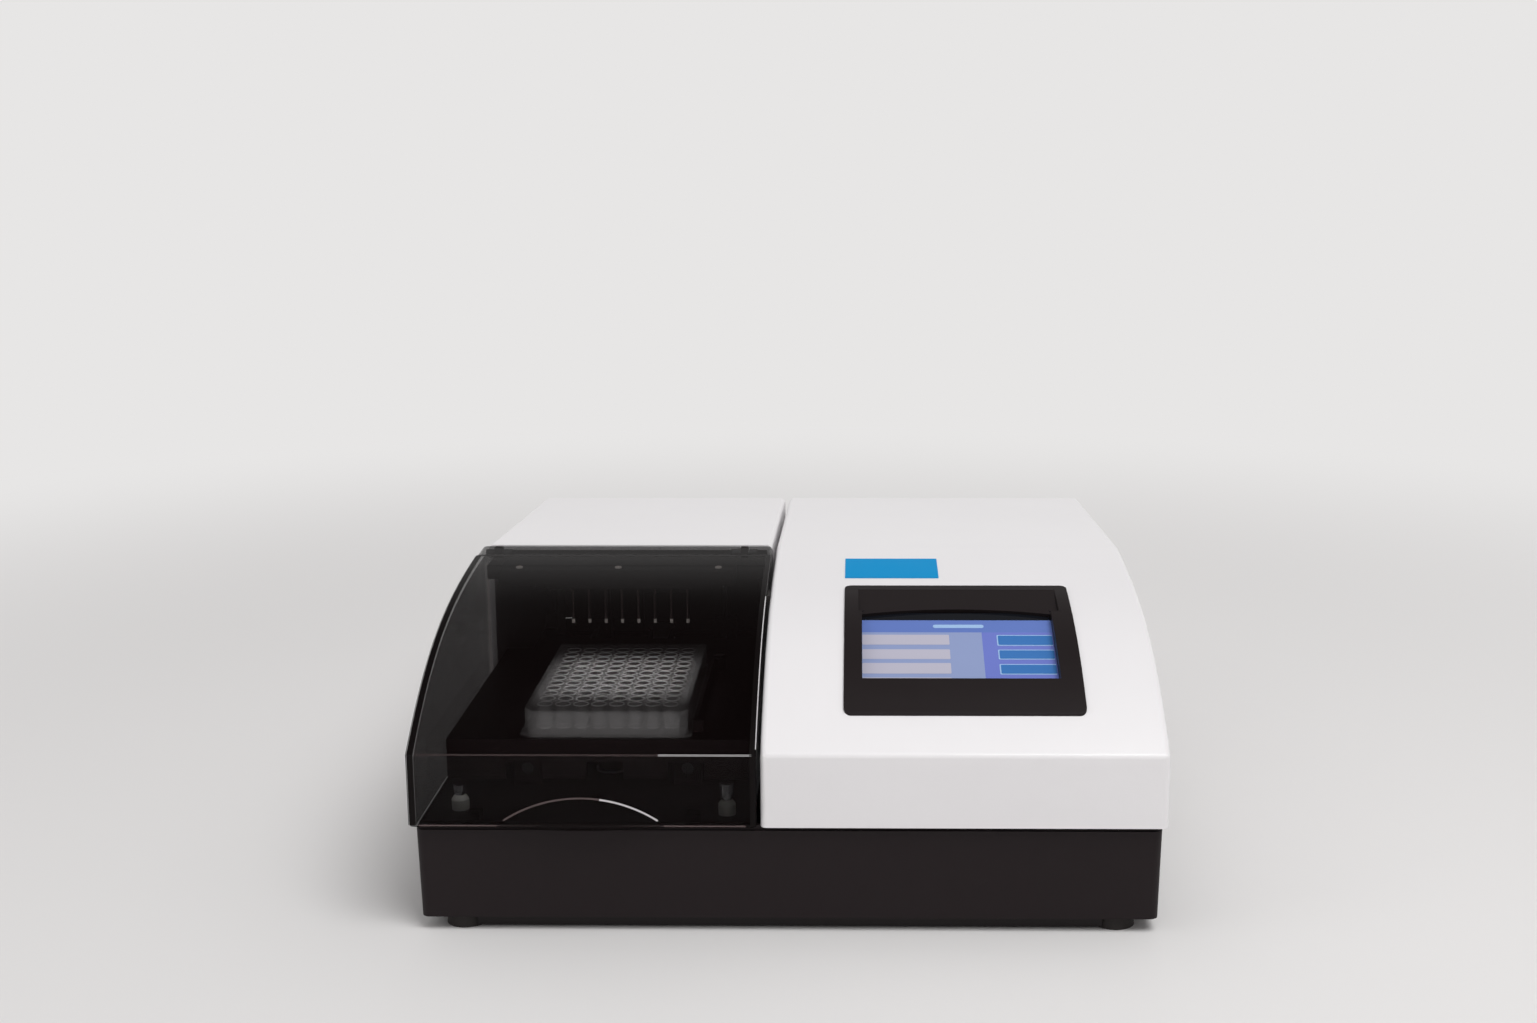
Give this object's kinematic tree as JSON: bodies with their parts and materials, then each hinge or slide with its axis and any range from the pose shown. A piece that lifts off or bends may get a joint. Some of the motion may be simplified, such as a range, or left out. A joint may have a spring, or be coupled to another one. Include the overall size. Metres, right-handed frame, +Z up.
{
  "type": "microplate washer",
  "caption": "Bench microplate washer with a hinged smoked cover, a tube manifold that lowers over a sliding plate carrier, and a sloping touch screen.",
  "frame": {"origin": "on the bench under the middle of the instrument", "axes": "+X to the operator's right, +Y from the front to the rear, +Z up"},
  "size_m": [0.356, 0.413, 0.146],
  "materials": {
    "white_shell": "semi-gloss moulded white",
    "black_tub": "fine matt texture",
    "smoked_acrylic": "glossy smoked acrylic",
    "black_plastic": "satin",
    "black_gloss": "satin gloss",
    "natural_plastic": "satin",
    "black_rubber": "matt",
    "bright_steel": "ground",
    "chromed": "polished",
    "aluminium": "milled",
    "black_aluminium": "black anodised",
    "motor_black": "satin",
    "brass": "turned",
    "clear_plastic": "clear polystyrene",
    "clear_hose": "translucent silicone",
    "touch_glass": "glossy",
    "display": "lit display",
    "circuit_board": "solder mask"
  },
  "bodies": {
    "base": {"base_tub": "black_tub", "base_plinth": "black_plastic", "rubber_feet": "black_rubber", "deck": "black_plastic", "right_housing": "white_shell", "rear_cover": "white_shell", "rear_panel": "black_aluminium", "housing_screws": "bright_steel", "seam_buffer": "black_rubber", "header_panel": "black_plastic", "header_screws": "chromed", "hinge_brackets": "black_plastic", "hinge_pins": "bright_steel", "z_frame": "black_aluminium", "z_guide_rods": "bright_steel", "z_motor": "motor_black", "y_rails": "bright_steel", "rail_blocks": "black_plastic", "y_motor": "motor_black", "idler_bolt": "bright_steel", "timing_belt": "black_rubber", "knob_bases": "natural_plastic", "screen_bezel": "black_gloss", "touch_panel": "touch_glass", "display_panel": "display", "display_board": "circuit_board", "controller_board": "circuit_board", "board_standoffs": "brass", "dispense_pump": "motor_black", "valve_block": "aluminium", "fluid_tubing": "clear_hose", "supply_fitting": "natural_plastic", "waste_fitting": "natural_plastic", "power_jack": "black_plastic", "data_port": "bright_steel", "switch_frame": "black_plastic"},
    "mist_cover": {"mist_cover": "smoked_acrylic"},
    "manifold": {"z_carriage": "aluminium", "z_bushings": "brass", "lift_nut": "natural_plastic", "manifold_arms": "black_plastic", "manifold_bar": "aluminium", "suction_tubes": "chromed", "supply_tubes": "chromed", "manifold_hoses": "clear_hose"},
    "lead_screw": {"lead_screw": "bright_steel"},
    "carrier": {"carriage_frame": "aluminium", "slide_bushings": "natural_plastic", "belt_clamp": "aluminium", "carrier_tray": "black_plastic", "microplate": "clear_plastic", "clamp_pin": "chromed"},
    "plate_clamp": {"plate_clamp": "black_plastic"},
    "drive_pulley": {"drive_pulley": "aluminium"},
    "idler_pulley": {"idler_pulley": "aluminium"},
    "power_switch": {"switch_rocker": "black_plastic"},
    "left_thumbscrew": {"left_thumbscrew": "chromed"},
    "right_thumbscrew": {"right_thumbscrew": "chromed"}
  },
  "joints": [
    {"name": "cover_hinge", "type": "hinge", "parent": "base", "child": "mist_cover", "pos_m": [-0.0963, -0.0095, 0.1427], "axis": [-1, 0, 0], "range_deg": [0, 75]},
    {"name": "carrier_slide", "type": "slide", "parent": "base", "child": "carrier", "axis": [0, 1, 0], "range_m": [0, 0.099]},
    {"name": "manifold_lift", "type": "slide", "parent": "base", "child": "manifold", "axis": [0, 0, 1], "range_m": [-0.026, 0], "deforming": ["manifold_hoses"]},
    {"name": "screw_turn", "type": "hinge", "parent": "base", "child": "lead_screw", "pos_m": [-0.092, 0.156, 0.1], "axis": [0, 0, 1], "range_deg": [-1880, 10]},
    {"name": "drive_pulley_turn", "type": "hinge", "parent": "base", "child": "drive_pulley", "pos_m": [-0.092, 0.124, 0.058], "axis": [0, 0, 1], "range_deg": [-865, 5]},
    {"name": "idler_pulley_turn", "type": "hinge", "parent": "base", "child": "idler_pulley", "pos_m": [-0.092, -0.124, 0.058], "axis": [0, 0, 1], "range_deg": [-865, 5]},
    {"name": "clamp_swing", "type": "hinge", "parent": "carrier", "child": "plate_clamp", "pos_m": [-0.04426, -0.02724, 0.0836], "axis": [0, 0, 1], "range_deg": [0, 8], "stiffness_Nm_per_rad": 0.05, "springref_deg": -5.73},
    {"name": "switch_rock", "type": "hinge", "parent": "base", "child": "power_switch", "pos_m": [0.082, 0.181, 0.094], "axis": [0, 0, 1], "range_deg": [0, 16]},
    {"name": "left_thumbscrew_turn", "type": "hinge", "parent": "base", "child": "left_thumbscrew", "pos_m": [-0.1585, -0.177, 0.06], "axis": [0, 0, 1], "continuous": true},
    {"name": "right_thumbscrew_turn", "type": "hinge", "parent": "base", "child": "right_thumbscrew", "pos_m": [-0.0296, -0.183, 0.06], "axis": [0, 0, 1], "continuous": true}
  ],
  "couplings": [
    {"joint": "screw_turn", "follows": "manifold_lift", "rad_per_m": 1256.6},
    {"joint": "drive_pulley_turn", "follows": "carrier_slide", "rad_per_m": -151.52},
    {"joint": "idler_pulley_turn", "follows": "carrier_slide", "rad_per_m": -151.52}
  ]
}
